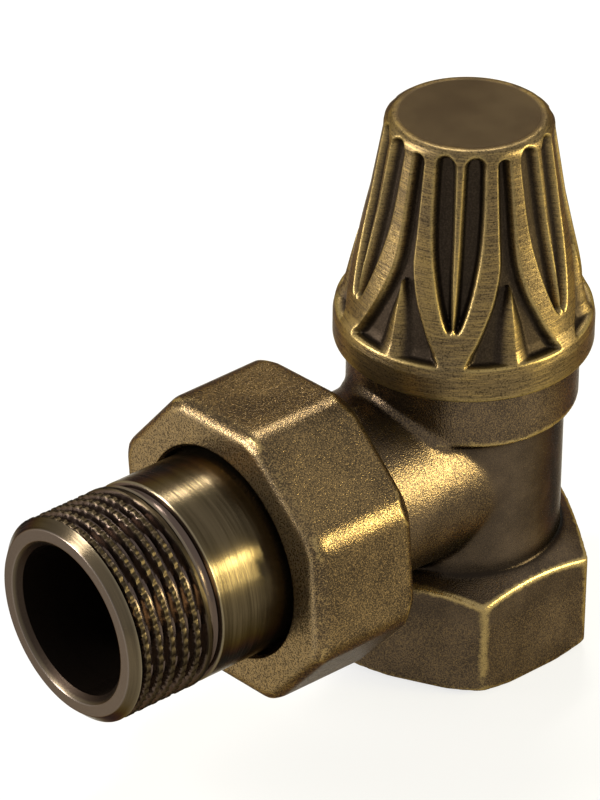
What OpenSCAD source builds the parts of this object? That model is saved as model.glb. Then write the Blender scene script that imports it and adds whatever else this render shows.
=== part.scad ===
// Angle radiator valve for 3/4 inch pipe: cast body, union with tailpiece and a leaf-cut knob.
// The origin is the centre of the inlet's mouth, +Z is up along the spindle and -Y is the outlet.

/* [Inlet] */
// Width across the flats of the inlet hexagon
inlet_flats = 29.2; // [28.8:0.1:31]
// Height of the hexagon where its shoulder meets the neck
inlet_h = 15.4; // [15:0.1:16.2]
// Slope of the hexagon's end chamfers
inlet_slope = 26; // [20:1:30]
// Radius of the female pipe thread, drawn as a plain bore
inlet_thread_r = 13.25; // [13:0.01:13.5]
// Depth of the female pipe thread
inlet_depth = 12.5; // [11:0.1:12.8]

/* [Body] */
// Radius of the neck between hexagon and collar
neck_r = 12.35; // [12.2:0.05:12.8]
// Radius of the collar that takes the headwork
collar_r = 13.9; // [13.7:0.05:14]
// Height of the collar's lower edge
collar_z = 34.7; // [33:0.1:36]
// Height of the collar's top face
collar_top = 43.5; // [43.3:0.1:43.8]
// Height of the outlet's axis
branch_z = 26.7; // [26.6:0.1:27.2]
// Outer radius of the side branch
branch_r = 11.8; // [11.5:0.1:12.2]
// Radius of the branch's waterway
branch_bore_r = 9.1; // [8.6:0.05:9.15]
// Radius of the seat's opening
seat_r = 8; // [7.2:0.1:8.2]
// Height of the seat
seat_z = 17.5; // [17.2:0.1:18]

/* [Union] */
// Width across the flats of the octagon nut
nut_flats = 36; // [35.6:0.1:38]
// Distance of the nut's front face from the spindle's axis
nut_reach = 37.6; // [37.4:0.1:38.2]
// Length of the nut
nut_len = 15.2; // [14.6:0.1:15.6]
// Metal left between the union thread and the nut's flats
nut_side = 1.4; // [1.3:0.05:1.6]
// Angle by which the octagon is rolled round the outlet's axis
nut_roll = 5.5; // [-22:0.5:22]

/* [Tailpiece] */
// Distance of the outlet's mouth from the spindle's axis
tail_reach = 60.6; // [60:0.1:62]
// Radius of the tailpiece's bore
bore_r = 9.35; // [8.8:0.05:9.6]
// Radius of the smooth tube
tail_r = 12.64; // [12.4:0.01:12.8]
// Outer radius of the male pipe thread, drawn as a plain cylinder
outlet_thread_r = 13.22; // [13:0.01:13.4]
// Length of the male pipe thread with its chamfer
outlet_thread_len = 10.4; // [9.5:0.1:11]

/* [Knob] */
// Height of the knob's lower edge when the valve is shut
knob_z = 42.5; // [42.3:0.1:42.7]
// Height of the knob
knob_h = 30.8; // [30.4:0.1:32]
// Radius of the knob's lip
knob_lip_r = 15.6; // [15.4:0.05:16.2]
// Radius of the knob below its rounded top
knob_top_r = 10; // [9.8:0.05:10.6]
// Depth of the flutes
flute_depth = 1.2; // [0.8:0.1:1.3]
// Angle of a leaf from the outlet's side
knob_turn = -17.2; // [-30:0.1:30]

/* [Headwork] */
// Radius of the bonnet's thread in the collar
bonnet_r = 12; // [11.8:0.05:12.1]
// Width across the flats of the bonnet's hexagon
bonnet_flats = 19; // [18:0.5:19.5]
// Radius of the spindle's thread
spindle_thread_r = 5.95; // [5.8:0.05:6]
// Radius of the spindle's shaft
spindle_r = 4.4; // [4.2:0.05:4.5]
// Width across the flats of the spindle's square end
square_flats = 6; // [5.6:0.1:6]

/* [Hidden] */
$fn = 96;
// Finishes
cast_bronze = [0.42, 0.33, 0.18];
worn_bronze = [0.55, 0.43, 0.22];
turned_bronze = [0.33, 0.29, 0.24];
bright_brass = [0.80, 0.66, 0.35];
rubber_black = [0.08, 0.08, 0.08];
// Clearance of pieces that turn or slide in each other
run_gap = 0.05;
// Small step that keeps a cut past the face it opens
past = 1;
// Body
hex_corner = 1.6;
wall = 1.95;
chamber_r = neck_r - wall;
chamber_top = collar_top - 7;
collar_step = 0.5;
seat_rim = 1.1;
seat_rise = 0.8;
// Union, as distances from the spindle's axis
union_thread_r = nut_flats / 2 - nut_side;
nut_gap = 0.56;
nut_bore_r = tail_r + nut_gap;
nut_back = nut_reach - nut_len;
nut_wall = 3.2;
nut_corner = 4;
flange_w = 2.9;
flange_front = nut_reach - nut_wall;
flange_back = flange_front - flange_w;
flange_r = union_thread_r - 1.8;
thread_start = nut_back + 0.8;
nose_len = 4;
nose_start = flange_back - nose_len;
nose_r = bore_r + 2.05;
seal_groove = 1.8;
tail_cord_r = 0.57;
// Tailpiece
relief_w = 2.2;
relief_r = 11.9;
mouth_ring_r = 11.5;
mouth_bore_r = 9.95;
thread_back = tail_reach - outlet_thread_len;
lug_w = 3;
// Knob
leaves = 6;
// Its outline, as [share of the height, share of the way from the top's radius to the lip's]
knob_form = [[0.098, 1], [0.13, 0.965], [0.182, 0.82], [0.31, 0.638], [0.477, 0.446], [0.63, 0.275],
    [0.925, 0]];
rim_round = 1.8;
lip_round = 0.5;
knob_roof = 2;
skirt_r = collar_r + 0.4;
skirt_h = 2.7;
knob_wall = 1.1;
// Flutes, as [share of the height, angle from the leaf's middle]
leaf_edge = [[0.142, 6.5], [0.165, 8], [0.224, 12], [0.295, 16], [0.367, 20], [0.438, 22.8],
    [0.487, 24], [0.552, 25], [0.76, 25.5], [0.925, 26]];
flute_out = [[0.27, 1.6], [0.283, 4], [0.347, 6.6], [0.438, 9.6], [0.568, 13.2], [0.7, 15.2],
    [0.83, 16], [0.91, 16.4]];
flute_in = [[0.91, 3.2], [0.76, 2.8], [0.568, 2.3], [0.438, 1.6], [0.325, 0.9], [0.283, 0.5]];
dart_top = 0.425;
dart_w = 5.2;
// Headwork
bonnet_low = 31;
bonnet_nose_r = 8;
bonnet_thread_z = chamber_top + 0.6;
undercut_z = collar_top - 2.2;
undercut_r = bonnet_r - 1.2;
flange_h = 1.5;
bonnet_flange_r = bonnet_r + 1.3;
headwork_h = 7.5;
bonnet_top = collar_top + headwork_h;
bonnet_cord_r = 0.55;
step_z = 42;
ring_w = 1.5;
ring_low_z = step_z + 0.6;
ring_high_z = step_z + 2.6;
gland_r = 6;
gland_depth = 4.5;
gland_z = bonnet_top - gland_depth;
gland_flats = 12;
gland_head = 3;
gland_top = bonnet_top + gland_head;
packing_h = 1.6;
gland_washer_h = 0.6;
// Washer and its holder
holder_r = 9.4;
washer_h = 2;
holder_z = seat_z + washer_h;
holder_h = 4.8;
holder_floor = 1.5;
plate_h = 0.8;
screw_r = 1.5;
screw_head_r = 3;
screw_head_z = seat_z - plate_h - 1.8;
clip_z = holder_z + 2.3;
clip_h = 0.6;
// Spindle
tip_r = 2.5;
tip_groove = 0.7;
spindle_low = 28;
stop_r = 3.6;
shoulder_z = 37.3;
square_z = gland_top + 2;
spindle_top = knob_z + knob_h * 0.763;
groove_w = 0.9;
groove_z = spindle_top - 3 * groove_w;
clip_r = 4.9;
clip_slot = 2;

// Width at the knob's surface at a share of its height
function knob_r(s) = let (way = lookup(s, knob_form)) knob_top_r + (knob_lip_r - knob_top_r) * way;
function knob_at(s) = knob_z + knob_h * s;
// A point of an outline laid on the knob: angle at a share of the height
function on_knob(s, angle) = [knob_r(s) * sin(angle), knob_at(s)];
function arc(x, y, r, from, to, steps = 8) =
    [for (i = [0:steps]) let (a = from + (to - from) * i / steps) [x + r * cos(a), y + r * sin(a)]];
function across(flats, sides) = flats / 2 / cos(180 / sides);

// Turns what follows onto the outlet's axis, with its Z along the outlet
module along_outlet() {
    translate([0, 0, branch_z]) rotate([90, 0, 0]) children();
}

// Ring between two radii
module ring(outer, inner, h) {
    difference() {
        cylinder(r = outer, h = h);
        translate([0, 0, -past]) cylinder(r = inner, h = h + 2 * past);
    }
}

// Round seal of a given cord radius
module o_ring(mid_r, cord_r) {
    rotate_extrude() translate([mid_r, 0]) circle(r = cord_r);
}

// Polygon bar with rounded long edges
module bar(flats, sides, corner, h) {
    linear_extrude(h) offset(r = corner, $fn = 40) offset(delta = -corner)
        circle(r = across(flats, sides), $fn = sides);
}

// Envelope that chamfers both ends of a bar, as a revolved outline
module chamfered(flats, sides, h, top_drop, low_rise) {
    corner_r = across(flats, sides);
    rotate_extrude() polygon([[0, 0], [flats / 2 - 0.3, 0], [corner_r, low_rise],
        [corner_r, h - top_drop], [flats / 2 - 0.3, h], [0, h]]);
}

// Inlet hexagon with its sloping shoulder
module inlet_hex() {
    corner_r = across(inlet_flats, 6);
    top_z = inlet_h - (corner_r - neck_r) * tan(inlet_slope);
    inner_z = inlet_h + past * tan(inlet_slope);
    intersection() {
        rotate(30) bar(inlet_flats, 6, hex_corner, inner_z);
        rotate_extrude() polygon([[0, 0], [inlet_flats / 2 - 0.3, 0], [corner_r, 1.1], [corner_r, top_z],
            [neck_r - past, inner_z], [0, inner_z]]);
    }
}

// Side branch with the male union thread and the flat nose that the tailpiece seats on
module branch() {
    along_outlet() rotate_extrude() polygon([[0, 0], [branch_r, 0], [branch_r, nut_back - 1],
        [union_thread_r - 1.2, thread_start], [union_thread_r, thread_start + 0.8],
        [union_thread_r, flange_back - 0.9], [union_thread_r - 0.9, flange_back], [0, flange_back]]);
}

// Everything hollow in the body: inlet thread, seat, chamber, headwork thread, outlet and nose socket
module waterway() {
    floor_z = seat_z - seat_rise;
    rotate_extrude() polygon([[0, -past], [inlet_thread_r, -past], [inlet_thread_r, inlet_depth],
        [seat_r + 2, inlet_depth], [seat_r, inlet_depth + 2], [seat_r, seat_z],
        [seat_r + seat_rim, seat_z], [seat_r + seat_rim, floor_z], [chamber_r, floor_z],
        [chamber_r, chamber_top], [bonnet_r, chamber_top], [bonnet_r, collar_top - 0.9],
        [bonnet_r + 1, collar_top + 0.1], [0, collar_top + 0.1]]);
    along_outlet() rotate_extrude() polygon([[0, 0], [branch_bore_r, 0], [branch_bore_r, nose_start - 0.5],
        [nose_r + run_gap, nose_start - 0.5], [nose_r + run_gap, flange_back + past],
        [0, flange_back + past]]);
}

// Body: hexagon, neck, collar and branch cast in one
module valve_body() {
    color(cast_bronze) difference() {
        union() {
            inlet_hex();
            translate([0, 0, inlet_h - past]) cylinder(r = neck_r, h = collar_z - inlet_h + past);
            rotate_extrude() polygon([[0, collar_z - collar_step], [neck_r, collar_z - collar_step],
                [collar_r, collar_z], [collar_r, collar_top - 0.3], [collar_r - 0.3, collar_top],
                [0, collar_top]]);
            branch();
        }
        waterway();
    }
}

// Headwork that holds the spindle
module bonnet() {
    hex_z = collar_top + flange_h;
    color(bright_brass) difference() {
        union() {
            rotate_extrude() polygon([[0, bonnet_low], [bonnet_nose_r, bonnet_low],
                [bonnet_nose_r, bonnet_thread_z], [bonnet_r - run_gap, bonnet_thread_z],
                [bonnet_r - run_gap, undercut_z], [undercut_r, undercut_z], [undercut_r, collar_top],
                [bonnet_flange_r, collar_top], [bonnet_flange_r, hex_z], [0, hex_z]]);
            translate([0, 0, hex_z]) intersection() {
                cylinder(r = across(bonnet_flats, 6), h = bonnet_top - hex_z, $fn = 6);
                chamfered(bonnet_flats, 6, bonnet_top - hex_z, 0.9, 0);
            }
        }
        // bore: spindle thread, shaft and gland
        rotate_extrude() polygon([[0, bonnet_low - past], [spindle_thread_r + run_gap, bonnet_low - past],
            [spindle_thread_r + run_gap, step_z], [spindle_r + run_gap, step_z],
            [spindle_r + run_gap, gland_z], [gland_r, gland_z], [gland_r, bonnet_top + past],
            [0, bonnet_top + past]]);
        for (z = [ring_low_z, ring_high_z])
            translate([0, 0, z]) cylinder(r = spindle_r + ring_w, h = ring_w);
    }
}

module bonnet_o_ring() {
    inset = bonnet_cord_r + run_gap;
    color(rubber_black) translate([0, 0, collar_top - inset]) o_ring(bonnet_r - inset, bonnet_cord_r);
}

// Seal of rounded-square section round the spindle, in one of the bonnet's grooves
module spindle_seal(z) {
    translate([0, 0, z + 0.05])
        ring(spindle_r + ring_w - 0.05, spindle_r + 0.03, ring_w - 0.1);
}

module spindle_o_ring_lower() {
    color(rubber_black) spindle_seal(ring_low_z);
}

module spindle_o_ring_upper() {
    color(rubber_black) spindle_seal(ring_high_z);
}

module gland_packing() {
    color("ivory") translate([0, 0, gland_z]) ring(gland_r - 0.05, spindle_r + 0.04, packing_h);
}

module gland_washer() {
    color(bright_brass) translate([0, 0, gland_z + packing_h])
        ring(gland_r - 0.1, spindle_r + 0.15, gland_washer_h);
}

module gland_nut() {
    low_z = gland_z + packing_h + gland_washer_h;
    color(bright_brass) difference() {
        union() {
            translate([0, 0, low_z]) cylinder(r = gland_r - run_gap, h = bonnet_top - low_z + 0.2);
            translate([0, 0, bonnet_top]) intersection() {
                cylinder(r = across(gland_flats, 6), h = gland_top - bonnet_top, $fn = 6);
                chamfered(gland_flats, 6, gland_top - bonnet_top, 0.6, 0);
            }
        }
        translate([0, 0, low_z - past]) cylinder(r = spindle_r + 0.1, h = gland_top - low_z + 2 * past);
    }
}

// Rising spindle: swivel tip, thread, shaft and square end
module spindle() {
    tip_z = holder_z + holder_floor + 0.1;
    clip_gap = clip_h + 0.2;
    color(bright_brass) difference() {
        union() {
            rotate_extrude() polygon([[0, tip_z], [tip_r, tip_z], [tip_r, clip_z],
                [tip_r - tip_groove, clip_z], [tip_r - tip_groove, clip_z + clip_gap],
                [tip_r, clip_z + clip_gap], [tip_r, spindle_low - 2.6], [stop_r, spindle_low - 2.6],
                [stop_r, spindle_low - 0.8], [spindle_thread_r - 0.8, spindle_low - 0.8],
                [spindle_thread_r, spindle_low], [spindle_thread_r, shoulder_z - 0.6],
                [spindle_thread_r - 0.6, shoulder_z], [spindle_r, shoulder_z],
                [spindle_r, square_z - 0.4], [spindle_r - 0.4, square_z], [0, square_z]]);
            translate([0, 0, square_z - past]) intersection() {
                cylinder(r = across(square_flats, 4), h = spindle_top - square_z + past, $fn = 4);
                cylinder(r = spindle_r - 0.5, h = spindle_top - square_z + past);
            }
        }
        translate([0, 0, groove_z]) ring(2 * spindle_r, square_flats / 2 - 0.1, groove_w);
    }
}

// Swivelling holder of the rubber washer
module disc_holder() {
    top_z = holder_z + holder_h;
    color(bright_brass) difference() {
        rotate_extrude() polygon([[0, holder_z], [holder_r, holder_z], [holder_r, holder_z + 1.6],
            [5, holder_z + 2.6], [4.2, top_z], [0, top_z]]);
        translate([0, 0, holder_z + holder_floor]) cylinder(r = tip_r + run_gap, h = holder_h);
        translate([0, 0, clip_z - 0.05]) cylinder(r = tip_r + 0.65, h = clip_h + 0.3);
        translate([0, 0, holder_z - past]) cylinder(r = screw_r, h = holder_floor + 2 * past);
    }
}

// Spring ring in the holder, it runs in the groove of the spindle's tip
module disc_clip() {
    color("silver") translate([0, 0, clip_z + 0.1]) difference() {
        ring(tip_r + 0.62, tip_r - 0.6, clip_h);
        translate([0, -0.5, -past]) cube([2 * tip_r, 1, clip_h + 2 * past]);
    }
}

module disc_washer() {
    color(rubber_black) translate([0, 0, seat_z]) ring(holder_r - 0.2, screw_r + 0.1, washer_h);
}

module washer_plate() {
    color(bright_brass) translate([0, 0, seat_z - plate_h]) ring(seat_r - 1.6, screw_r + 0.1, plate_h);
}

module disc_screw() {
    color(bright_brass) difference() {
        rotate_extrude() polygon([[0, screw_head_z], [screw_head_r, screw_head_z],
            [screw_head_r, seat_z - plate_h], [screw_r - 0.02, seat_z - plate_h],
            [screw_r - 0.02, holder_z + holder_floor - 0.1], [0, holder_z + holder_floor - 0.1]]);
        translate([-2 * screw_head_r, -0.4, screw_head_z - past]) cube([4 * screw_head_r, 0.8, past + 0.8]);
    }
}

// Outline of the knob from its lip to the rounded rim of the top
module knob_outline() {
    rim_z = knob_at(0.925);
    polygon(concat([[0, knob_z], [knob_lip_r - lip_round, knob_z]],
        arc(knob_lip_r - lip_round, knob_z + lip_round, lip_round, -90, 0, 4),
        [for (p = knob_form) [knob_r(p[0]), knob_at(p[0])]],
        arc(knob_top_r - rim_round, knob_z + knob_h - rim_round, rim_round, 8, 90),
        [[0, knob_z + knob_h]]));
}

// Core that the flutes stop at, deepest low down
module flute_floor() {
    shares = [0.1, 0.182, 0.31, 0.477, 0.63, 0.925, 1];
    rotate_extrude() polygon(concat([[0, knob_at(0.1)]],
        [for (s = shares) [knob_r(s) - flute_depth * (1.12 - 0.35 * s), knob_at(s)]], [[0, knob_at(1)]]));
}

// Cuts an outline into the knob's side down to the flutes' floor
module flute_cut() {
    difference() {
        rotate([90, 0, 0]) linear_extrude(knob_lip_r + 2) children();
        flute_floor();
    }
}

// One of a leaf's two flutes, with a round top
module leaf_flute() {
    top_in = on_knob(0.91, flute_in[0][1]);
    top_out = on_knob(0.91, flute_out[7][1]);
    half_w = (top_out[0] - top_in[0]) / 2;
    polygon(concat([for (p = flute_out) on_knob(p[0], p[1])],
        [for (a = [20:20:160]) [top_in[0] + half_w + half_w * cos(a), top_in[1] + 1.4 * sin(a)]],
        [for (p = flute_in) on_knob(p[0], p[1])]));
}

// Slot between two leaves, it widens to a triangle over the lip
module gap_flute() {
    gap = 180 / leaves;
    side = [for (p = leaf_edge) on_knob(p[0], gap - p[1])];
    top_w = side[9][0];
    polygon(concat(side, [for (a = [20:20:160]) [top_w * cos(a), side[9][1] + top_w * sin(a)]],
        [for (i = [9:-1:0]) [-side[i][0], side[i][1]]]));
}

// Upright dart with a sharp ridge in the triangle between two leaves
module dart() {
    low_z = knob_at(0.142);
    top_z = knob_at(dart_top);
    lean = atan((knob_r(0.182) - knob_r(dart_top)) / (knob_at(dart_top) - knob_at(0.182)));
    intersection() {
        rotate([90, 0, 0]) linear_extrude(knob_lip_r)
            polygon([[-dart_w / 2, low_z - 0.5], [dart_w / 2, low_z - 0.5], [0.3, top_z], [-0.3, top_z]]);
        translate([0, -knob_r(dart_top) + 0.1, top_z]) rotate([-lean, 0, 0]) translate([0, 0, -15])
            linear_extrude(20) polygon([[0, -0.1], [dart_w, 3.2], [-dart_w, 3.2]]);
    }
}

// Inside of the knob: skirt round the collar, then a cone up to the roof
module knob_hollow() {
    deep = flute_depth + knob_wall;
    rotate_extrude() polygon([[0, knob_z - past], [skirt_r, knob_z - past], [skirt_r, knob_z + skirt_h],
        [knob_r(0.2) - deep, knob_at(0.13)], [knob_r(0.31) - deep, knob_at(0.31)],
        [knob_r(0.477) - deep, knob_at(0.477)], [knob_r(0.63) - deep, knob_at(0.63)],
        [knob_r(0.925) - deep, knob_z + knob_h - knob_roof], [0, knob_z + knob_h - knob_roof]]);
}

// Cast knob with pairs of flutes in six leaves and darts between them
module knob() {
    color(worn_bronze) rotate(knob_turn) difference() {
        union() {
            difference() {
                rotate_extrude() knob_outline();
                for (i = [0:leaves - 1]) rotate(360 / leaves * i) {
                    flute_cut() leaf_flute();
                    flute_cut() mirror([1, 0]) leaf_flute();
                    rotate(180 / leaves) flute_cut() gap_flute();
                }
            }
            for (i = [0:leaves - 1]) rotate(360 / leaves * (i + 0.5)) dart();
        }
        knob_hollow();
    }
}

// Plastic hub that fills the knob's upper hollow and sits on the spindle's square
module knob_insert() {
    deep = flute_depth + knob_wall;
    low_s = 0.477;
    roof_z = knob_z + knob_h - knob_roof;
    color("dimgray") difference() {
        rotate_extrude() polygon([[0, knob_at(low_s)], [knob_r(low_s) - deep, knob_at(low_s)],
            [knob_r(0.63) - deep, knob_at(0.63)], [knob_r(0.925) - deep, roof_z], [0, roof_z]]);
        translate([0, 0, knob_z])
            cylinder(r = across(square_flats, 4) + run_gap, h = spindle_top - knob_z + 0.3, $fn = 4);
        translate([0, 0, groove_z - 0.1]) cylinder(r = clip_r + 0.2, h = groove_w + 0.2);
    }
}

// Spring ring that grips the groove of the spindle's square end
module knob_clip() {
    color("silver") translate([0, 0, groove_z + 0.1]) difference() {
        ring(clip_r, square_flats / 2 - 0.05, groove_w - 0.2);
        translate([0, -clip_slot / 2, -past]) cube([2 * clip_r, clip_slot, groove_w + 2 * past]);
    }
}

// Octagon nut: flat front wall with the tailpiece's opening, thread behind it
module union_nut() {
    color(cast_bronze) along_outlet() difference() {
        translate([0, 0, nut_back]) intersection() {
            rotate(22.5 + nut_roll) bar(nut_flats, 8, nut_corner, nut_len);
            chamfered(nut_flats, 8, nut_len, 1, 0.8);
        }
        cylinder(r = nut_bore_r, h = tail_reach);
        cylinder(r = union_thread_r + run_gap, h = flange_front);
        rotate_extrude() polygon([[0, nut_back - 0.1], [union_thread_r + 0.8, nut_back - 0.1],
            [union_thread_r, nut_back + 0.7], [0, nut_back + 0.7]]);
        rotate_extrude() polygon([[0, nut_reach + 0.1], [nut_bore_r + 0.5, nut_reach + 0.1],
            [nut_bore_r, nut_reach - 0.4], [0, nut_reach - 0.4]]);
    }
}

// Turned tube: nose, flange, smooth stretch, relief groove and male pipe thread
module tailpiece() {
    mouth = tail_reach;
    mouth_cut = mouth_bore_r - bore_r;
    seal_start = nose_start + nose_len / 4;
    color(turned_bronze) along_outlet() difference() {
        rotate_extrude() polygon([[0, nose_start], [nose_r - 0.4, nose_start], [nose_r, nose_start + 0.4],
            [nose_r, seal_start], [nose_r - 1.2, seal_start], [nose_r - 1.2, seal_start + seal_groove],
            [nose_r, seal_start + seal_groove], [nose_r, flange_back], [flange_r, flange_back],
            [flange_r, flange_front], [tail_r, flange_front], [tail_r, thread_back - relief_w - 0.3],
            [tail_r - 0.3, thread_back - relief_w], [relief_r, thread_back - relief_w],
            [relief_r, thread_back - 0.5], [outlet_thread_r, thread_back + 0.2],
            [outlet_thread_r, mouth - 0.6], [outlet_thread_r - 0.4, mouth - 0.45], [mouth_ring_r, mouth],
            [0, mouth]]);
        difference() {
            cylinder(r = bore_r, h = mouth + past);
            // two lugs for the fitting key
            for (side = [-1, 1]) translate([side * bore_r - lug_w / 2, -lug_w / 2, flange_back])
                cube([lug_w, lug_w, 6]);
        }
        rotate_extrude() polygon([[0, mouth - mouth_cut], [bore_r, mouth - mouth_cut],
            [mouth_bore_r + 0.1, mouth + 0.1], [0, mouth + 0.1]]);
    }
}

module tail_o_ring() {
    color(rubber_black) along_outlet() translate([0, 0, nose_start + nose_len / 4 + seal_groove / 2])
        o_ring(nose_r - tail_cord_r - run_gap, tail_cord_r);
}

valve_body();
bonnet();
bonnet_o_ring();
spindle_o_ring_lower();
spindle_o_ring_upper();
gland_packing();
gland_washer();
gland_nut();
spindle();
disc_holder();
disc_clip();
disc_washer();
washer_plate();
disc_screw();
knob();
knob_insert();
knob_clip();
union_nut();
tailpiece();
tail_o_ring();
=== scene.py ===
import math

import bpy
import numpy as np
from mathutils import Matrix, Vector


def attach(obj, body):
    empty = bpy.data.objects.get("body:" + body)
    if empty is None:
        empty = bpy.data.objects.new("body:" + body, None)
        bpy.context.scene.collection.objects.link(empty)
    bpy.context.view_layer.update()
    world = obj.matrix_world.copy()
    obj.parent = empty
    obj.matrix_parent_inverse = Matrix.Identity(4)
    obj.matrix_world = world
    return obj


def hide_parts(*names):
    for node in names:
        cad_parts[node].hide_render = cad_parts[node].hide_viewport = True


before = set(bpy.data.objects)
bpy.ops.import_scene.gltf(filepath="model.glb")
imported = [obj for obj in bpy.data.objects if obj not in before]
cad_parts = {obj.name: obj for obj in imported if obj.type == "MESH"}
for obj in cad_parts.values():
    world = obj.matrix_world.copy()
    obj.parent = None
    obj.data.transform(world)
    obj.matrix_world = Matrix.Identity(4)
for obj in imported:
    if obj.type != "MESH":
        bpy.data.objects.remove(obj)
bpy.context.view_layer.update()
mm = 0.001

# Bronzed angle radiator valve: lengths below are in millimetres, turned to metres where a mesh is made.
# "along" is the distance from the spindle's axis down the outlet, that is -Y.
outletHeight = 26.7


# Camera

camera = {
    "place": (423.09, -383.24, 406.48),
    "turn": 49.784,      # azimuth, 0 looks along +Y
    "height": 33.263,    # elevation above the horizon
    "roll": 0.587,
    "lens": 254.4,
}


def makeCamera():
    data = bpy.data.cameras.new("camera")
    data.lens = camera["lens"]
    data.sensor_width = 36
    data.clip_start = 0.01
    data.clip_end = 20
    turn, height, roll = (math.radians(camera[k]) for k in ("turn", "height", "roll"))
    back = Vector((math.sin(turn) * math.cos(height), -math.cos(turn) * math.cos(height), math.sin(height)))
    level = Vector((math.cos(turn), math.sin(turn), 0))
    right = level * math.cos(roll) + back.cross(level) * math.sin(roll)
    stand = Matrix((right, back.cross(right), back)).transposed().to_4x4()
    stand.translation = Vector(camera["place"]) * mm
    eye = bpy.data.objects.new("camera", data)
    eye.matrix_world = stand
    bpy.context.scene.collection.objects.link(eye)
    bpy.context.scene.camera = eye
    print("camera placed")


# Mesh helpers

def deselectAll():
    if bpy.context.object and bpy.context.object.mode != "OBJECT":
        bpy.ops.object.mode_set(mode="OBJECT")
    bpy.ops.object.select_all(action="DESELECT")


def takeUp(piece):
    deselectAll()
    piece.select_set(True)
    bpy.context.view_layer.objects.active = piece


def settle(piece):
    takeUp(piece)
    bpy.ops.object.transform_apply(location=True, rotation=True, scale=True)


def trace(name, points, fill=False):
    # one vertex drawn out point by point along an outline
    deselectAll()
    dots = [Vector(p) * mm for p in points]
    bpy.ops.mesh.primitive_plane_add(size=mm, location=dots[0])
    piece = bpy.context.object
    piece.name = piece.data.name = name
    settle(piece)
    bpy.ops.object.mode_set(mode="EDIT")
    bpy.ops.mesh.select_mode(type="VERT")
    bpy.ops.mesh.select_all(action="SELECT")
    bpy.ops.mesh.merge(type="CENTER")
    for here, there in zip(dots, dots[1:]):
        bpy.ops.mesh.extrude_vertices_move(TRANSFORM_OT_translate={"value": there - here})
    if fill:
        bpy.ops.mesh.select_all(action="SELECT")
        bpy.ops.mesh.edge_face_add()
    bpy.ops.object.mode_set(mode="OBJECT")
    return piece


def spinUp(name, outline, steps, outlet=False):
    # (radius, height) pairs turned round the spindle's axis, or (radius, along) pairs round the outlet's
    if outlet:
        points = [(r, -t, outletHeight) for r, t in outline]
        centre, axis = (0, 0, outletHeight * mm), (0, -1, 0)
    else:
        points = [(r, 0, z) for r, z in outline]
        centre, axis = (0, 0, 0), (0, 0, 1)
    piece = trace(name, points)
    takeUp(piece)
    bpy.ops.object.mode_set(mode="EDIT")
    bpy.ops.mesh.select_all(action="SELECT")
    bpy.ops.mesh.spin(steps=steps, angle=2 * math.pi, center=centre, axis=axis)
    bpy.ops.mesh.select_all(action="SELECT")
    bpy.ops.mesh.remove_doubles(threshold=2e-6)
    bpy.ops.mesh.normals_make_consistent(inside=False)
    bpy.ops.object.mode_set(mode="OBJECT")
    return piece


def applyModifier(piece, kind, **settings):
    takeUp(piece)
    made = piece.modifiers.new(kind.lower(), kind)
    for key, value in settings.items():
        setattr(made, key, value)
    bpy.ops.object.modifier_apply(modifier=made.name)


def combine(piece, tool, operation, solver="EXACT"):
    applyModifier(piece, "BOOLEAN", operation=operation, object=tool, solver=solver)
    bpy.data.objects.remove(tool)


def softSkin(piece, grain, rounds):
    # closed skin of even small faces whose edges are softened, as a sand casting's are
    applyModifier(piece, "REMESH", mode="VOXEL", voxel_size=grain * mm)
    applyModifier(piece, "SMOOTH", factor=0.5, iterations=rounds)


def points(piece):
    flat = np.zeros(len(piece.data.vertices) * 3, np.float32)
    piece.data.vertices.foreach_get("co", flat)
    return flat.reshape(-1, 3).astype(float) / mm


def mark(piece, name, values):
    made = piece.data.attributes.new(name, "FLOAT", "POINT")
    made.data.foreach_set("value", np.asarray(values, np.float32))


def weigh(piece, name, shares):
    group = piece.vertex_groups.new(name=name)
    steps = np.round(np.clip(shares, 0, 1), 3)
    for step in np.unique(steps[steps > 0]):
        group.add(np.flatnonzero(steps == step).tolist(), float(step), "REPLACE")


def sink(piece, depths, deepest, direction="NORMAL"):
    # each vertex goes in along its normal by its share of the deepest cut, as painted weights do,
    # or out where deepest is below 0
    weigh(piece, "sunk", depths / deepest)
    applyModifier(piece, "DISPLACE", vertex_group="sunk", strength=-deepest * mm, mid_level=0, direction=direction)
    piece.vertex_groups.clear()


def turnRound(spots, outlet=False):
    # turns about the spindle's or the outlet's axis, distance along it and radius, for each vertex
    x, y, z = spots.T
    if outlet:
        return np.arctan2(z - outletHeight, x) / (2 * math.pi), -y, np.hypot(x, z - outletHeight)
    return np.arctan2(y, x) / (2 * math.pi), z, np.hypot(x, y)


def threadDip(turn, along, start, pitch, crest, flank):
    # 0 on the crest of a right-hand thread, 1 at its root
    off = np.abs(((along - start) / pitch - turn + 0.5) % 1 - 0.5) * pitch
    share = np.clip((off - crest / 2) / flank, 0, 1)
    return share * share * (3 - 2 * share)


def wornEdges(piece, rounds):
    # how far each vertex stands proud of its smoothed surroundings: edges above 0, hollows below
    edges = np.zeros(len(piece.data.edges) * 2, np.int32)
    piece.data.edges.foreach_get("vertices", edges)
    a, b = edges.reshape(-1, 2).T
    start = points(piece)
    count = np.bincount(a, minlength=len(start)) + np.bincount(b, minlength=len(start))
    moved = start.copy()
    for _ in range(rounds):
        total = np.stack([
            np.bincount(a, moved[b, k], len(start)) + np.bincount(b, moved[a, k], len(start))
            for k in range(3)], 1)
        moved = total / np.maximum(count, 1)[:, None]
    normals = np.zeros(len(start) * 3, np.float32)
    piece.data.vertices.foreach_get("normal", normals)
    return np.einsum("ij,ij->i", start - moved, normals.reshape(-1, 3))


def smoothShade(piece, angle):
    takeUp(piece)
    bpy.ops.object.shade_smooth_by_angle(angle=math.radians(angle))


def dress(piece, material, slot, body, *nodes):
    piece.data.materials.clear()
    piece.data.materials.append(material)
    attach(piece, body)
    if nodes:
        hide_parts(*nodes)


# Shader helpers

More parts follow.
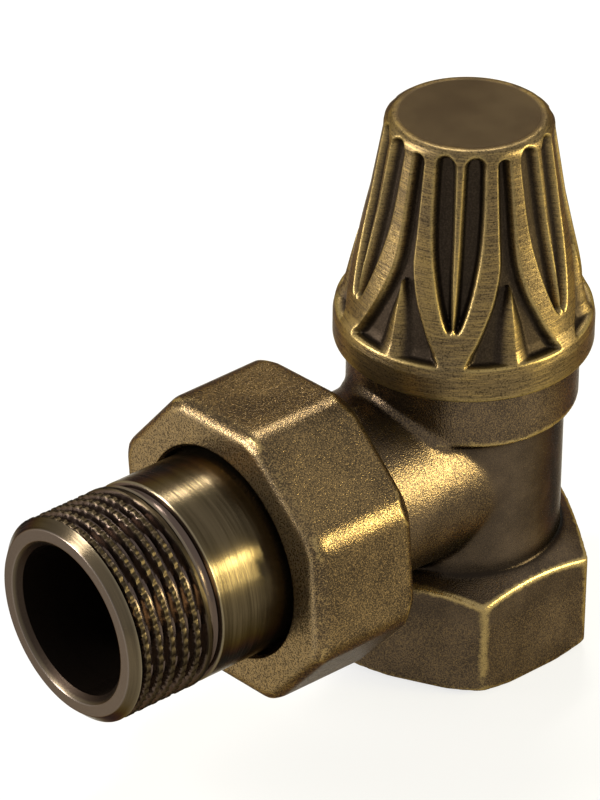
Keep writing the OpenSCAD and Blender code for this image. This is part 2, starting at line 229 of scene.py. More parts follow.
class Wire:
    # an output socket, so that shader maths reads as plain expressions
    def __init__(self, finish, socket):
        self.finish = finish
        self.socket = socket

    def join(self, operation, first, second):
        return self.finish.add("ShaderNodeMath", {"operation": operation}, {0: first, 1: second})

    def __add__(self, other):
        return self.join("ADD", self, other)

    def __radd__(self, other):
        return self.join("ADD", other, self)

    def __sub__(self, other):
        return self.join("SUBTRACT", self, other)

    def __rsub__(self, other):
        return self.join("SUBTRACT", other, self)

    def __mul__(self, other):
        return self.join("MULTIPLY", self, other)

    def __rmul__(self, other):
        return self.join("MULTIPLY", other, self)

    def __truediv__(self, other):
        return self.join("DIVIDE", self, other)

    def __pow__(self, other):
        return self.join("POWER", self, other)


class Finish:
    def __init__(self, name):
        self.material = bpy.data.materials.new(name)
        self.material.use_nodes = True
        self.tree = self.material.node_tree
        self.tree.nodes.clear()

    def add(self, kind, settings, inputs, output=0):
        node = self.tree.nodes.new(kind)
        for key, value in settings.items():
            if key == "stops":
                ramp = node.color_ramp
                while len(ramp.elements) < len(value):
                    ramp.elements.new(0.5)
                for element, (place, colour) in zip(ramp.elements, value):
                    element.position = place
                    element.color = colour
            else:
                setattr(node, key, value)
        for key, value in inputs.items():
            if isinstance(value, Wire):
                self.tree.links.new(value.socket, node.inputs[key])
            else:
                node.inputs[key].default_value = value
        return Wire(self, node.outputs[output])

    def place(self):
        return self.add("ShaderNodeTexCoord", {}, {}, 3)

    def stretched(self, scale, turn=(0, 0, 0), shift=(0, 0, 0)):
        return self.add("ShaderNodeMapping", {}, {
            "Vector": self.place(), "Scale": scale, "Rotation": turn, "Location": shift})

    def noise(self, vector, scale, detail=2, rough=0.5):
        return self.add("ShaderNodeTexNoise", {}, {
            "Vector": vector, "Scale": scale, "Detail": detail, "Roughness": rough})

    def attribute(self, name):
        return self.add("ShaderNodeAttribute", {"attribute_name": name}, {}, 2)

    def between(self, value, low, high, toLow=0, toHigh=1, soft=True):
        kind = "SMOOTHSTEP" if soft else "LINEAR"
        return self.add("ShaderNodeMapRange", {"interpolation_type": kind, "clamp": True}, {
            0: value, 1: low, 2: high, 3: toLow, 4: toHigh})

    def mix(self, share, first, second):
        return self.add("ShaderNodeMix", {"data_type": "RGBA"}, {0: share, 6: first, 7: second}, 2)

    def bump(self, height, distance, strength=1.0, normal=None):
        inputs = {"Height": height, "Distance": distance * mm, "Strength": strength}
        if normal:
            inputs["Normal"] = normal
        return self.add("ShaderNodeBump", {}, inputs)

    def surface(self, **inputs):
        sockets = {key.replace("_", " "): value for key, value in inputs.items()}
        shader = self.add("ShaderNodeBsdfPrincipled", {}, sockets)
        out = self.tree.nodes.new("ShaderNodeOutputMaterial")
        self.tree.links.new(shader.socket, out.inputs["Surface"])
        return self.material


def paint(code):
    # a colour as it looks on screen, as the shader wants it
    parts = [int(code[i:i + 2], 16) / 255 for i in (0, 2, 4)]
    return tuple(c / 12.92 if c <= 0.04045 else ((c + 0.055) / 1.055) ** 2.4 for c in parts) + (1.0,)


# Room
room = {
    "floor": "f4f3f1",
    "grey": 0.4,
    "plainTo": {"Camera": 0.75, "Glossy": 0.45, "Transmission": 0.75},   # share of plain white in the floor they meet
    "lamps": {
        "left": {"turn": -82, "height": 20, "size": (130, 480), "power": 6, "tint": (1.0, 0.97, 0.92)},
        "right": {"turn": 75, "height": 22, "size": (200, 80), "power": 2.8, "tint": (1.0, 0.92, 0.52)},
        "rightLow": {"turn": 82, "height": 7, "size": (200, 180), "power": 3.6, "tint": (1.0, 0.9, 0.5)},
        "back": {"turn": 179, "height": 53, "size": (60, 270), "power": 1.9, "tint": (1.0, 0.99, 0.96), "roll": -38},
    },
    "away": 620,
}


def addLamp(name):
    lamp, away = room["lamps"][name], room["away"]
    data = bpy.data.lights.new(name, "AREA")
    data.shape = "RECTANGLE"
    data.size, data.size_y = (s * mm for s in lamp["size"])
    data.energy = lamp["power"]
    data.color = lamp["tint"]
    turn = math.radians(camera["turn"] + lamp["turn"])
    height = math.radians(lamp["height"])
    way = Vector((math.sin(turn) * math.cos(height), -math.cos(turn) * math.cos(height), math.sin(height)))
    holder = bpy.data.objects.new(name, data)
    stand = way.to_track_quat("Z", "Y").to_matrix().to_4x4() @ Matrix.Rotation(math.radians(lamp.get("roll", 0)), 4, "Z")
    stand.translation = Vector((0, -20, 30)) * mm + way * away * mm
    holder.matrix_world = stand
    bpy.context.scene.collection.objects.link(holder)


def makeRoom():
    scene = bpy.context.scene
    scene.view_settings.view_transform = "Standard"
    world = bpy.data.worlds.new("room")
    scene.world = world
    world.use_nodes = True
    nodes, links = world.node_tree.nodes, world.node_tree.links
    nodes.clear()
    path = nodes.new("ShaderNodeLightPath")
    seen = nodes.new("ShaderNodeVectorMath")
    seen.operation = "DOT_PRODUCT"
    seen.inputs[1].default_value = (1, 1, 1)
    kinds = nodes.new("ShaderNodeCombineXYZ")
    for kind, socket in zip(room["plainTo"], kinds.inputs):
        links.new(path.outputs[f"Is {kind} Ray"], socket)
    links.new(kinds.outputs[0], seen.inputs[0])
    level = nodes.new("ShaderNodeMapRange")
    level.inputs[3].default_value = room["grey"]
    level.inputs[4].default_value = 1.0
    links.new(seen.outputs["Value"], level.inputs[0])
    sky = nodes.new("ShaderNodeBackground")
    sky.inputs["Color"].default_value = (1, 1, 1, 1)
    links.new(level.outputs[0], sky.inputs["Strength"])
    out = nodes.new("ShaderNodeOutputWorld")
    links.new(sky.outputs[0], out.inputs["Surface"])
    deselectAll()
    bpy.ops.mesh.primitive_plane_add(size=6, location=(0, 0, 0))
    floor = bpy.context.object
    floor.name = "floor"
    finish = Finish("pale floor")
    cloth = finish.add("ShaderNodeBsdfDiffuse", {}, {"Color": paint(room["floor"])})
    glow = finish.add("ShaderNodeEmission", {}, {"Color": (1, 1, 1, 1), "Strength": 1.0})
    shares = [finish.add("ShaderNodeLightPath", {}, {}, f"Is {ray} Ray") * s for ray, s in room["plainTo"].items()]
    blend = finish.add("ShaderNodeMixShader", {}, {0: shares[0] + shares[1] + shares[2], 1: cloth, 2: glow})
    out = finish.tree.nodes.new("ShaderNodeOutputMaterial")
    finish.tree.links.new(blend.socket, out.inputs["Surface"])
    floor.data.materials.append(finish.material)
    for name in room["lamps"]:
        addLamp(name)
    print("room and lamps set")


# Finishes
edgeTint = (0.28, 0.24, 0.18, 1)


def castFinish(name, dark, light, gold, share):
    # sand-cast bronze: dark grainy patina with brass in its tops and along its edges; hollows darker, partly patina and
    # partly painted shade, painted shade round the neck's foot, and a face painted paler as a painted highlight
    f = Finish(name)
    spot = f.place()
    grain = f.noise(spot, 5600, 2, 0.55)
    lumps = f.noise(spot, 1400, 2, 0.5)
    clouds = f.noise(spot, 140, 3, 0.6)
    edge, calm = f.attribute("edge"), f.attribute("calm")
    rub = f.between(edge + (lumps - 0.5) * 0.1, 0.03, 0.12)
    cloudy = f.mix(f.between(clouds, 0.3, 0.7), paint(dark), paint(light))
    # painted highlight: the face marked pale (the nut's front) takes this lighter tone, standing for the light it
    # catches
    litFrontTone = f.mix(f.between(grain, 0.34, 0.66), paint("5c4f3d"), paint("927f61"))
    base = f.mix(f.attribute("pale"), cloudy, litFrontTone)
    tops = f.between(grain + clouds * 0.12 + rub * 0.15, 0.5, 0.74) * (1 - calm * 0.8)
    bright = f.mix(rub * 0.65, f.mix(tops * share, base, paint(gold)), paint("a8915f"))
    pits = f.between(grain, 0.46, 0.34) * (1 - calm * 0.6)
    # hollows and inside creases darken, partly patina gathered there and partly painted shade; the band round the
    # neck's foot is painted shade only
    hollow = f.between(f.attribute("dent"), -0.06, -0.5) * 0.5 + f.between(edge, -0.02, -0.2) * 0.25 + f.attribute("soot") * 0.6
    colour = f.mix(pits * 0.4 + hollow, bright, paint("1f1914"))
    bump = f.bump((grain + lumps * 0.8) * (1 - calm * 0.55), 0.05, 0.8)
    rough = f.between(grain, 0.3, 0.7, 0.32, 0.2)
    return f.surface(Base_Color=colour, Metallic=0.92, Roughness=rough, Normal=bump, Specular_Tint=edgeTint)


def brushedFinish():
    # the knob's cast bronze, brushed level along its ridges and black in its flutes
    f = Finish("worn bronze")
    spot = f.place()
    grain = f.noise(spot, 4600, 3, 0.65)
    clouds = f.noise(spot, 130, 3, 0.55)
    streaks = f.noise(f.stretched((330, 330, 7000)), 1, 3, 0.7)
    deep, edge, rim = f.attribute("deep"), f.attribute("edge"), f.attribute("rim")
    lid = f.attribute("lid")
    rub = f.between(edge, 0.0, 0.16)
    base = f.mix(f.between(streaks * 0.5 + grain * 0.5, 0.36, 0.64), paint("3d3325"), paint("6e5d41"))
    gold = f.mix(f.between(streaks * 0.6 + clouds * 0.5, 0.48, 0.74) * 0.65, base, paint("8a7343"))
    # brass on worn edges, plus a faint painted highlight in the band along the carved rims
    worn = f.mix(rub * 0.5 + rim * 0.12, gold, paint("a58f5a"))
    pitted = f.mix(f.between(grain, 0.44, 0.34) * 0.6, worn, paint("1d1710"))
    flat = f.mix(lid, pitted, f.mix(f.between(clouds, 0.3, 0.7), paint("463c2f"), paint("504536")))
    floor = f.mix(f.between(grain, 0.4, 0.7), paint("28211a"), paint("382f26"))
    colour = f.mix(f.between(deep, 0.2, 0.75), flat, floor)
    lines = f.between(deep, 0.15, 0.5, 1, 0) * (1 - lid)
    height = streaks * lines * 0.5 + grain * (0.5 - lid * 0.4)
    rough = f.between(streaks, 0.3, 0.7, 0.38, 0.28) * (1 - lid) + deep * 0.2 + lid * 0.26
    return f.surface(Base_Color=colour, Metallic=0.92, Roughness=rough, Normal=f.bump(height, 0.06, 0.8),
                     Specular_Tint=edgeTint)


def turnedFinish():
    # the tail's dark bronze with the fine rings of the lathe and a brush
    f = Finish("turned bronze")
    rings = f.noise(f.stretched((90, 5200, 90)), 1, 4, 0.7)
    broad = f.noise(f.stretched((60, 900, 60)), 1, 2, 0.5)
    fine = f.noise(f.place(), 5200, 2, 0.6)
    deep, edge, bore = f.attribute("deep"), f.attribute("edge"), f.attribute("bore")
    face = f.attribute("face")
    bead = f.attribute("bead")
    base = f.mix(f.between(rings * 0.6 + broad * 0.4, 0.38, 0.62), paint("383022"), paint("4e4433"))
    front = f.mix(face, base, f.mix(fine, paint("5a5049"), paint("685e56")))
    sunk = f.mix(f.between(deep, 0.05, 0.3), front, f.mix(rings, paint("463b35"), paint("5a4d45")))
    crest = f.mix(bead, sunk, f.mix(fine, paint("1f1a12"), paint("3a3124")))
    worn = f.mix(f.between(edge, 0.02, 0.1) * 0.5, crest, paint("857a64"))
    colour = f.mix(bore, worn, f.mix(fine, paint("241d18"), paint("332a23")))
    rough = f.between(rings, 0.3, 0.7, 0.25, 0.17) + bore * 0.22 + bead * 0.2
    height = rings * (1 - bore) * (1 - face * 0.7) * (1 - bead * 0.7) * 0.4 + fine * (0.05 + bore * 0.3)
    return f.surface(Base_Color=colour, Metallic=0.95, Roughness=rough, Normal=f.bump(height, 0.05, 0.8),
                     Specular_Tint=edgeTint)


def plainMetal(name, colour, second, roughness, lines):
    # turned metal with fine tool marks round the spindle's axis
    f = Finish(name)
    tone = f.noise(f.stretched((1, 1, 40)), lines, 2)
    cloud = f.noise(f.place(), 220, 2)
    shade = f.mix(f.between(cloud + tone * 0.4, 0.5, 0.9), colour, second)
    return f.surface(Base_Color=shade, Metallic=1.0, Roughness=roughness, Normal=f.bump(tone, 0.01, 0.5))


def darkRubber():
    f = Finish("black rubber")
    fine = f.noise(f.place(), 3000, 2)
    tone = f.mix(fine, paint("111111"), paint("262524"))
    return f.surface(Base_Color=tone, Roughness=f.between(fine, 0, 1, 0.6, 0.8), Normal=f.bump(fine, 0.01))


def whitePacking():
    f = Finish("white packing")
    fine = f.noise(f.stretched((1, 1, 6)), 1800, 3)
    tone = f.mix(fine, paint("d8d2c4"), paint("f0ece2"))
    return f.surface(Base_Color=tone, Roughness=0.55, Normal=f.bump(fine, 0.02))


def hubPlastic():
    f = Finish("hub plastic")
    fine = f.noise(f.place(), 2200, 3)
    tone = f.mix(fine, paint("1d1d1e"), paint("2c2b2b"))
    return f.surface(Base_Color=tone, Roughness=f.between(fine, 0, 1, 0.38, 0.55), Normal=f.bump(fine, 0.012))


# Knob
knob = {
    "turn": -17.2,        # a leaf's middle, from -Y
    "leaves": 6,
    "steps": 540,
    "row": 0.185,
    "low": 42.2,
    "top": 72.86,
    "lip": 15.7,
    "deep": 1.26,
    "soft": 0.3,          # rounding outside a flute's edge
    "wall": 0.56,         # from that edge to the flute's floor
    "surface": [(45.43, 15.7), (46.5, 15.5), (48.05, 14.69), (52.04, 13.81), (57.2, 12.63), (61.87, 11.6),
                (70.96, 10.07), (72.86, 9.34)],
    "leaf": [(46.89, 6.5), (47.57, 8), (49.37, 12), (51.56, 16), (53.79, 20), (55.93, 22.8), (57.49, 24.4),
             (59.44, 25.4), (65.95, 25.8), (70.91, 26.2)],
    "fluteOut": [(50.68, 1.6), (51.17, 3.6), (53.16, 6.6), (55.93, 9.8), (59.92, 13.4), (63.96, 15.3), (68.0, 16.2),
                 (70.72, 16.6)],
    "fluteIn": [(70.72, 3.2), (65.95, 2.6), (59.92, 2.0), (55.93, 1.5), (52.43, 0.9), (51.17, 0.5)],
    "dart": [(46.89, 2.82), (50.97, 1.95), (53.99, 0.97), (55.84, 0.24)],   # half width in millimetres
    "lean": 0.34,         # by which the top's middle lies lower than its edge over "leanTurn"
    "leanTurn": 49.8,
    "hollow": [(0, 71.3), (4, 71.3), (7.83, 71.3), (9.37, 61.87), (10.39, 57.2), (11.59, 52.04), (12.47, 46.5),
               (14.4, 45.1), (14.4, 42.2)],
}


def surfaceRadius(z):
    heights, radii = zip(*knob["surface"])
    return np.interp(z, heights, radii)


def rounded(line, count=6):
    # a smooth line through its points
    p = np.array([line[0]] + list(line) + [line[-1]], float)
    out = []
    for a, b, c, d in zip(p, p[1:], p[2:], p[3:]):
        for t in np.arange(count) / count:
            bend = (2 * a - 5 * b + 4 * c - d) * t ** 2 + (3 * b - a - 3 * c + d) * t ** 3
            out.append(0.5 * (2 * b + (c - a) * t + bend))
    return np.array(out + [p[-1]])


def unrolled(line):
    # (height, angle) points as (arc length, height)
    z, angle = rounded(line).T
    return np.stack([surfaceRadius(z) * np.radians(angle), z], 1)


def insideBy(x, z, outline):
    # distance to the outline, above 0 inside it
    nearest = np.full(len(x), 1e9)
    inside = np.zeros(len(x), bool)
    for (ax, az), (bx, bz) in zip(outline, np.roll(outline, -1, 0)):
        dx, dz = bx - ax, bz - az
        along = np.clip(((x - ax) * dx + (z - az) * dz) / (dx * dx + dz * dz + 1e-12), 0, 1)
        nearest = np.minimum(nearest, np.hypot(x - ax - along * dx, z - az - along * dz))
        crosses = (az > z) != (bz > z)
        inside ^= crosses & (x < ax + (z - az) / (bz - az + 1e-12) * dx)
    return np.where(inside, nearest, -nearest)


def valley(inside):
    share = np.clip((inside + knob["soft"]) / (knob["soft"] + knob["wall"]), 0, 1)
    return knob["deep"] * share * share * (3 - 2 * share)


def archOver(x, z, half, rise):
    return [(x + half * math.cos(a), z + rise * math.sin(a)) for a in np.radians(range(20, 161, 20))]


def ornament(spots):
    # depth of the knob's carving at each vertex, and how near a carved edge it is
    turn = np.degrees(np.arctan2(spots[:, 0], -spots[:, 1])) - knob["turn"]
    sector = 360 / knob["leaves"]
    away = np.abs((turn + sector / 2) % sector - sector / 2)
    z = spots[:, 2]
    radius = surfaceRadius(z)
    out, back = unrolled(knob["fluteOut"]), unrolled(knob["fluteIn"])
    middle, half = (out[-1] + back[0]) / 2, (out[-1, 0] - back[0, 0]) / 2
    flute = insideBy(radius * np.radians(away), z, np.concatenate([out, archOver(*middle, half, 1.5), back]))
    gap = radius * np.radians(sector / 2 - away)
    side = unrolled([(h, sector / 2 - a) for h, a in knob["leaf"]])
    tip = archOver(0, side[-1, 1], side[-1, 0], side[-1, 0])
    slot = insideBy(gap, z, np.concatenate([side, tip, side[::-1] * (-1, 1)]))
    depth = np.maximum(valley(flute), valley(slot))
    heights, widths = zip(*knob["dart"])
    half = np.interp(z, heights, widths)
    dart = 0.08 + (knob["deep"] + 0.1) * (gap / half) ** 1.3 + np.where(z > heights[-1], 9, 0)
    blend = np.clip(0.5 + (dart - depth) / 0.3, 0, 1)
    ridged = depth * blend + dart * (1 - blend) - 0.15 * blend * (1 - blend)
    rim = np.exp(-((np.maximum(flute, slot) + 0.12) / 0.2) ** 2)
    return np.clip(np.where(depth > 0, ridged, 0), 0, None), rim


def makeKnob(material):
    low, top, lip = knob["low"], knob["top"], knob["lip"]
    rows = np.arange(45.43, 70.96, knob["row"])
    outline = knob["hollow"] + [(lip - 0.5, low)]
    outline += [(lip - 0.5 + 0.5 * math.sin(a), low + 0.5 - 0.5 * math.cos(a)) for a in np.radians((30, 60, 90))]
    outline += [(lip, z) for z in np.arange(low + 0.9, 45.33, 0.44)]
    outline += [(float(surfaceRadius(z)), z) for z in rows]
    outline += [(8.9 + 1.17 * math.cos(a), 71.3 + 1.56 * math.sin(a)) for a in np.radians(np.linspace(0, 84, 14))]
    outline += [(r, top) for r in (8.75, 8.3, 6, 3, 0)]
    piece = spinUp("knobCasting", outline, knob["steps"])
    spots = points(piece)
    radius = np.hypot(spots[:, 0], spots[:, 1])
    outer = (spots[:, 2] > 45.33) & (radius > surfaceRadius(spots[:, 2]) - 1.2)
    depth, rim = ornament(spots)
    depth, rim = np.where(outer, depth, 0), np.where(outer, rim, 0)
    mark(piece, "deep", depth / knob["deep"])
    # band along the carved edges, which the finish paints a little lighter as a painted highlight
    mark(piece, "rim", rim)
    mark(piece, "lid", np.clip((8.85 - radius) / 0.58, 0, 1) * (spots[:, 2] > top - 0.3))
    sink(piece, depth, 1.7)
    turn = math.radians(knob["leanTurn"])
    front = (spots[:, 0] * math.sin(turn) - spots[:, 1] * math.cos(turn)) / lip * 1.7
    lean = knob["lean"] * (1 - front) * np.clip((spots[:, 2] - 71.35) / 1.2, 0, 1)
    sink(piece, lean, 3 * knob["lean"], "Z")
    mark(piece, "edge", wornEdges(piece, 4))
    smoothShade(piece, 50)
    dress(piece, material, "worn_bronze", "stem", "knob")
    print("knob carved:", len(piece.data.polygons), "faces")


# Union nut
nut = {
    "flats": 36.0,
    "roll": 5.5,
    "back": 22.4,
    "front": 37.57,
    "corner": 4.0,
    "opening": 13.2,
    "thread": 16.65,
    "threadDeep": 0.73,
    "pitch": 2.309,
    "wall": 3.2,
    "skin": 0.26,
}


def castPrism(name, sides, flats, low, high, turn, corner, outlet):
    # polygon bar with rounded long edges; the primitive's first corner is at +Y
    deselectAll()
    radius = flats / 2 / math.cos(math.pi / sides)
    bpy.ops.mesh.primitive_cylinder_add(vertices=sides, radius=radius * mm, depth=(high - low) * mm)
    piece = bpy.context.object
    piece.name = piece.data.name = name
    bpy.ops.object.mode_set(mode="EDIT")
    bpy.ops.mesh.select_all(action="DESELECT")
    bpy.ops.object.mode_set(mode="OBJECT")
    for edge in piece.data.edges:
        a, b = (piece.data.vertices[v].co for v in edge.vertices)
        edge.select = abs(a.z - b.z) > 1e-4
    bpy.ops.object.mode_set(mode="EDIT")
    bpy.ops.mesh.select_mode(type="EDGE")
    bpy.ops.mesh.bevel(offset=corner * math.tan(math.pi / sides) * mm, segments=6, affect="EDGES")
    bpy.ops.object.mode_set(mode="OBJECT")
    middle = (low + high) / 2
    rolled = Matrix.Rotation(math.radians(turn), 4, "Z")
    if outlet:
        place = Matrix.Translation(Vector((0, -middle, outletHeight)) * mm)
        piece.matrix_world = place @ Matrix.Rotation(math.pi / 2, 4, "X") @ rolled
    else:
        piece.matrix_world = Matrix.Translation(Vector((0, 0, middle)) * mm) @ rolled
    settle(piece)
    return piece


def threadedTool(name, outline, low, high, radius, start, pitch, deep, outlet, row=0.22, steps=192):
    # revolved cutter whose wall from low to high carries a thread, cut deeper than its radius
    rows = [(radius, t) for t in np.arange(low, high, row)]
    spot = [i for i, (r, t) in enumerate(outline) if r == radius and t <= low + 0.01][-1]
    tool = spinUp(name, outline[:spot + 1] + rows[1:] + outline[spot + 1:], steps, outlet)
    turn, along, reach = turnRound(points(tool), outlet)
    fade = np.clip(np.minimum(along - low, high - along) / 0.5, 0, 1)
    dip = 1 - threadDip(turn, along, start, pitch, 0.25 * pitch, 0.32 * pitch)
    sink(tool, np.where(np.abs(reach - radius) < 0.02, dip * fade * deep, 0) * -1, -deep)
    return tool


def makeNut(material):
    front, back, flat, opening = nut["front"], nut["back"], nut["flats"] / 2, nut["opening"]
    piece = castPrism("unionNutCasting", 8, nut["flats"], back, front, 22.5 + nut["roll"], nut["corner"], True)
    reach = flat / math.cos(math.pi / 8)
    outline = [(0, back), (flat - 0.1, back), (reach, back + 2.2), (reach, front - 1), (flat - 0.3, front), (0, front)]
    combine(piece, spinUp("nutEnvelope", outline, 96, True), "INTERSECT")
    softSkin(piece, nut["skin"], 3)
    mark(piece, "edge", wornEdges(piece, 4) * 1.5)
    mark(piece, "dent", wornEdges(piece, 30))
    mark(piece, "calm", np.zeros(len(piece.data.vertices)))
    mark(piece, "soot", np.zeros(len(piece.data.vertices)))
    # painted highlight: the front face is marked pale so the finish paints it lighter, for the light it catches
    mark(piece, "pale", np.clip((-points(piece)[:, 1] - front + 0.35) / 0.25, 0, 1))
    r, end = nut["thread"], front - nut["wall"]
    outline = [(0, back - 1), (r + 0.7, back - 1), (r + 0.7, back + 0.05), (r, back + 0.7), (r, end),
               (opening, end), (opening, front - 0.35), (opening + 0.45, front + 0.1),
               (opening + 0.45, front + 1), (0, front + 1)]
    tool = threadedTool("nutBore", outline, back + 0.7, end, r, end, nut["pitch"], nut["threadDeep"], True)
    combine(piece, tool, "DIFFERENCE", "MANIFOLD")
    smoothShade(piece, 40)
    dress(piece, material, "cast_bronze", "nut", "union_nut")
    print("nut cast:", len(piece.data.polygons), "faces")


# Body
body = {
    "hexFlats": 29.2,
    "hexCorner": 1.1,
    "shoulder": 15.4,
    "slope": 26,
    "neck": 12.42,
    "collar": 14.05,
    "collarLow": 34.7,
    "top": 43.45,
    "branch": 11.8,
    "branchEnd": 31.5,
    "socket": 11.45,
    "socketStart": 27.0,
    "unionThread": 16.6,
    "unionStart": 23.2,
    "fillet": 2.15,
    "seam": 0.1,
    "ridge": 0.3,
    "ridgeWide": 0.55,
    "skin": 0.3,
    "inletThread": 12.06,
    "inletDeep": 12.5,
    "pipePitch": 1.8143,
}


def waterway():
    # everything hollow in the body, with the inlet's female pipe thread
    r, deep, top = body["inletThread"], body["inletDeep"], body["top"]
    outline = [(0, -1), (13.25, -1), (13.25, 0), (r, 1.2), (r, deep), (10, deep), (8, deep + 2), (8, 17.5), (9.1, 17.5),
               (9.1, 16.7), (10.4, 16.7), (10.4, 36.5), (12.02, 36.5), (12.02, top - 0.9), (13, top + 0.1),
               (13, top + 1), (0, top + 1)]
    tool = threadedTool("waterway", outline, 1.2, deep - 1.5, r, 0.5, body["pipePitch"], 1.1, False)
    away = [(0, 0), (9.1, 0), (9.1, body["socketStart"]), (body["socket"], body["socketStart"]),
            (body["socket"], body["branchEnd"] + 1), (0, body["branchEnd"] + 1)]
    combine(tool, spinUp("outletBore", away, 96, True), "UNION", "MANIFOLD")
    return tool


def makeBody(material):
    low, neck, collar, top = body["collarLow"], body["neck"], body["collar"], body["top"]
    piece = castPrism("bodyCasting", 6, body["hexFlats"], 0, 16.4, 0, body["hexCorner"], False)
    reach = body["hexFlats"] / 2 / math.cos(math.pi / 6)
    slope = math.tan(math.radians(body["slope"]))
    shoulder = body["shoulder"]
    outline = [(0, 0), (reach - 2.5, 0), (reach, 1.1), (reach, shoulder - (reach - neck) * slope),
               (neck - 1, shoulder + slope), (0, shoulder + slope)]
    combine(piece, spinUp("hexEnvelope", outline, 96), "INTERSECT")
    outline = [(0, 10), (neck, 10), (neck, low - 0.5), (collar, low), (collar, top - 0.3), (collar - 0.3, top), (0, top)]
    combine(piece, spinUp("trunk", outline, 128), "UNION")
    end = body["branchEnd"]
    outline = [(0, 0), (body["branch"], 0), (body["branch"], 21.9), (14, 23.2), (14, end), (0, end)]
    combine(piece, spinUp("branch", outline, 128, True), "UNION")
    softSkin(piece, body["skin"], 4)
    x, y, z = points(piece).T
    trunk = np.abs(np.hypot(x, y) - np.where(z > low - 0.3, collar, neck))
    side = np.abs(np.hypot(x, z - outletHeight) - body["branch"])
    weigh(piece, "fillet", np.exp(-(np.maximum(trunk, side) / body["fillet"]) ** 2) * 1.4 * (y < -2) * (y > -20))
    applyModifier(piece, "SMOOTH", factor=0.5, iterations=50, vertex_group="fillet")
    piece.vertex_groups.clear()
    x, y, z = points(piece).T
    seam = np.exp(-((x - 0.3) / 0.22) ** 2) * (z > 16.5) * (z < top - 0.6) * (y > -21.4)
    trunk = np.abs(np.hypot(x, y) - collar)
    side = np.abs(np.hypot(x, z - outletHeight) - body["branch"])
    ridge = np.exp(-(np.hypot(trunk, side) / body["ridgeWide"]) ** 2) * (z > low + 0.3) * (y < 0)
    sink(piece, -body["seam"] * seam - body["ridge"] * ridge, -body["seam"] - body["ridge"])
    z = points(piece)[:, 2]
    mark(piece, "edge", wornEdges(piece, 6) * np.interp(z, (2, 4, 13, 16), (0.7, 1.6, 1.6, 1.2)))
    # broad hollows, which the finish darkens partly as patina and partly as painted shade
    mark(piece, "dent", wornEdges(piece, 60))
    x, y, z = points(piece).T
    plain = np.clip((neck + 0.7 - np.hypot(x, y)) / 0.5, 0, 1) * np.clip((low + 0.5 - z) / 0.8, 0, 1)
    plain = np.maximum(plain, np.clip((z - 9.5) / 1.5, 0, 1) * np.clip((17 - z) / 1.5, 0, 1) * 0.6)
    mark(piece, "calm", plain)
    # painted shade: a band round the neck's foot on the hexagon's shoulder, darkened in the finish
    foot = np.clip((np.hypot(x, y) - neck) / 0.4, -1, 2.6)
    mark(piece, "soot", np.clip(1 - np.abs(foot) / 2.6, 0, 1) * np.clip((17.5 - z) / 1.2, 0, 1) * (z > 13))
    mark(piece, "pale", np.zeros(len(z)))
    combine(piece, waterway(), "DIFFERENCE", "MANIFOLD")
    smoothShade(piece, 40)
    dress(piece, material, "cast_bronze", "casing", "valve_body")
    print("body cast:", len(piece.data.polygons), "faces")
    r, start = body["unionThread"], body["unionStart"]
    outline = [(13.6, start + 0.2), (14, start)] + [(r - 1.1, start), (r, start + 0.9)]
    outline += [(r, t) for t in np.arange(start + 1.1, end - 1, 0.16)]
    outline += [(r, end - 0.9), (r - 0.9, end), (body["socket"], end), (body["socket"], end - 0.6), (13.6, end - 0.8)]
    outline += [(13.6, start + 0.2)]
    sleeve = spinUp("unionThread", outline, 240, True)
    turn, along, radius = turnRound(points(sleeve), True)
    dip = threadDip(turn, along, end, nut["pitch"], 0.5, 0.62)
    fade = np.clip((along - start - 0.6) / 0.6, 0, 1) * np.clip((end - along - 0.3) / 0.5, 0, 1)
    depth = np.where(radius > r - 0.02, dip * fade * 1.2, 0)
    mark(sleeve, "deep", depth / 1.2)
    mark(sleeve, "bore", np.zeros(len(depth)))
    mark(sleeve, "face", np.zeros(len(depth)))
    mark(sleeve, "bead", np.zeros(len(depth)))
    sink(sleeve, depth, 1.2)
    mark(sleeve, "edge", wornEdges(sleeve, 3))
    smoothShade(sleeve, 40)
    dress(sleeve, turnedBronze, "cast_bronze", "casing", "valve_body")
    print("union thread turned:", len(sleeve.data.polygons), "faces")


# Tailpiece
tail = {
    "mouth": 60.6,
    "pitch": 1.8143,
    "crest": 12.78,
    "crestWide": 0.46,
    "flank": 0.4,
    "deep": 1.0,
    "threadBack": 48.85,
    "relief": 11.8,
    "reliefStart": 47.45,
    "tube": 12.66,
    "steps": 480,
    "row": 0.13,
    "notches": 60,
    "notchDeep": 0.2,
    "notchLean": 0.15,
    "plainRing": 1.7,     # length of the thread's last turn, without notches
    "flange": 14.8,
    "flangeBack": 31.5,
    "flangeFront": 34.35,
    "nose": 27.5,
    "noseRadius": 11.4,
    "bore": 9.35,
}


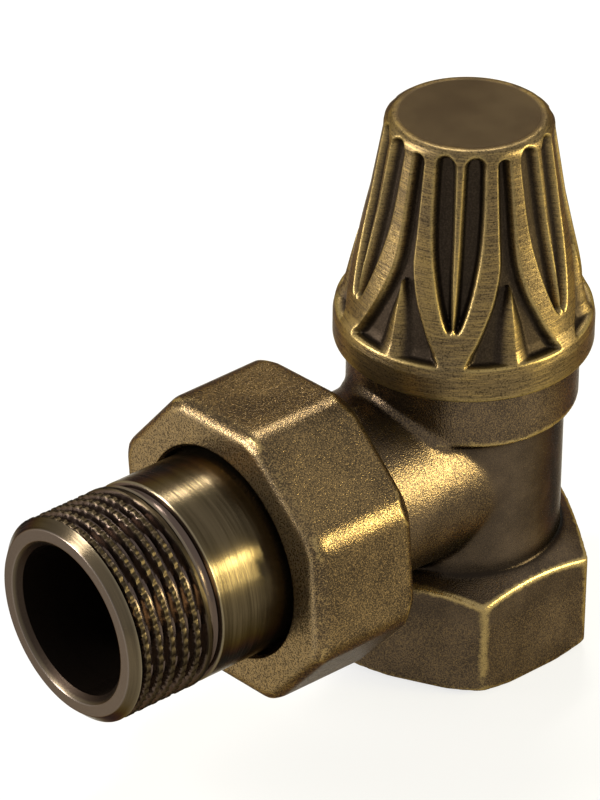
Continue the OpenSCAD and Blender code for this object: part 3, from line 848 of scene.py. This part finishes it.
def makeTail(material):
    mouth, back, tube, bore = tail["mouth"], tail["threadBack"], tail["tube"], tail["bore"]
    nose, wide, groove = tail["nose"], tail["noseRadius"], tail["noseRadius"] - 1.2
    behind, ahead, rim = tail["flangeBack"], tail["flangeFront"], tail["flange"]
    relief, start, crest = tail["relief"], tail["reliefStart"], tail["crest"]
    outline = [(bore, nose), (wide - 0.4, nose), (wide, nose + 0.4), (wide, nose + 1), (groove, nose + 1),
               (groove, nose + 2.8), (wide, nose + 2.8), (wide, behind), (rim, behind), (rim, ahead)]
    outline += [(tube, t) for t in (ahead, 37, 40, 43, 46, start - 0.25, start - 0.1)] + [(tube - 0.1, start)]
    outline += [(relief + 0.1, start + 0.12), (relief, start + 0.25), (relief, back - 0.5)]
    outline += [(relief + 0.25, back - 0.3), (crest - 0.15, back), (crest, back + 0.1)]
    outline += [(crest, t) for t in np.arange(back + 0.2, mouth - 1.2, tail["row"])]
    outline += [(crest - 0.04, mouth - 1.15), (crest - 0.14, mouth - 1.05), (12.2, mouth - 0.6), (11.74, mouth - 0.12),
                (11.66, mouth - 0.04), (11.6, mouth), (11.48, mouth), (11.2, mouth), (10.7, mouth), (10.36, mouth),
                (10.24, mouth), (10.18, mouth - 0.04), (10.08, mouth - 0.15), (9.8, mouth - 0.45), (bore, mouth - 0.95)]
    outline += [(bore, t) for t in (54, 46, 38, nose)]
    piece = spinUp("tailTube", outline, tail["steps"], True)
    turn, along, radius = turnRound(points(piece), True)
    dip = threadDip(turn, along, mouth - 2.2, tail["pitch"], tail["crestWide"], tail["flank"]) * tail["deep"]
    wave = (turn * tail["notches"] + along * tail["notchLean"]) % 1
    notch = (0.5 + 0.5 * np.cos(2 * math.pi * wave)) ** 1.5 * tail["notchDeep"]
    notch = notch * np.clip((along - back - tail["plainRing"]) / 0.3, 0, 1)
    fade = np.clip((along - back - 0.05) / 0.15, 0, 1) * np.clip((mouth - 1.2 - along) / 0.15, 0, 1)
    depth = np.where(radius > crest - 0.03, np.maximum(dip, notch) * fade, 0)
    thread = (along > back - 0.6) * (along < mouth - 1.1) * (radius > tail["relief"] - 0.1)
    groove = np.where((along > start + 0.05) * (along < back) * (radius > bore + 1), 1, depth)
    mark(piece, "deep", groove)
    mark(piece, "bore", np.clip((np.where(along > mouth - 1, 10.14, 9.45) - radius) / 0.1, 0, 1))
    mark(piece, "face", np.where(along > mouth - 0.1, 1, (along > mouth - 1.18) * 0.1) * (radius > 9.4))
    mark(piece, "bead", thread * np.clip(1 - dip / 0.25, 0, 1) * (radius > crest - 0.03))
    sink(piece, depth, 1.0)
    mark(piece, "edge", wornEdges(piece, 3) * (1 - thread * 0.7))
    smoothShade(piece, 40)
    dress(piece, material, "turned_bronze", "tail", "tailpiece")
    print("tail turned:", len(piece.data.polygons), "faces")


makeCamera()
makeRoom()

castBronze = castFinish("cast bronze", "3b322a", "4f4337", "8b734c", 0.4)
nutBronze = castFinish("cast bronze of the nut", "3a3126", "4d4130", "957a50", 0.6)
wornBronze, turnedBronze = brushedFinish(), turnedFinish()
brassFinish = plainMetal("bright brass", paint("b08d45"), paint("d0b066"), 0.3, 90)
steelFinish = plainMetal("spring steel", paint("8d8f92"), paint("b4b6b9"), 0.28, 120)
rubberFinish, packingFinish, plasticFinish = darkRubber(), whitePacking(), hubPlastic()
inner = {
    "bonnet": brassFinish, "gland_washer": brassFinish, "gland_nut": brassFinish, "spindle": brassFinish,
    "disc_holder": brassFinish, "washer_plate": brassFinish, "disc_screw": brassFinish,
    "disc_clip": steelFinish, "knob_clip": steelFinish, "bonnet_o_ring": rubberFinish,
    "spindle_o_ring_lower": rubberFinish, "spindle_o_ring_upper": rubberFinish,
    "disc_washer": rubberFinish, "tail_o_ring": rubberFinish, "gland_packing": packingFinish,
    "knob_insert": plasticFinish,
}
for node, material in inner.items():
    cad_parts[node].data.materials.clear()
    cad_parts[node].data.materials.append(material)

makeKnob(wornBronze)
makeNut(nutBronze)
makeBody(castBronze)
makeTail(turnedBronze)
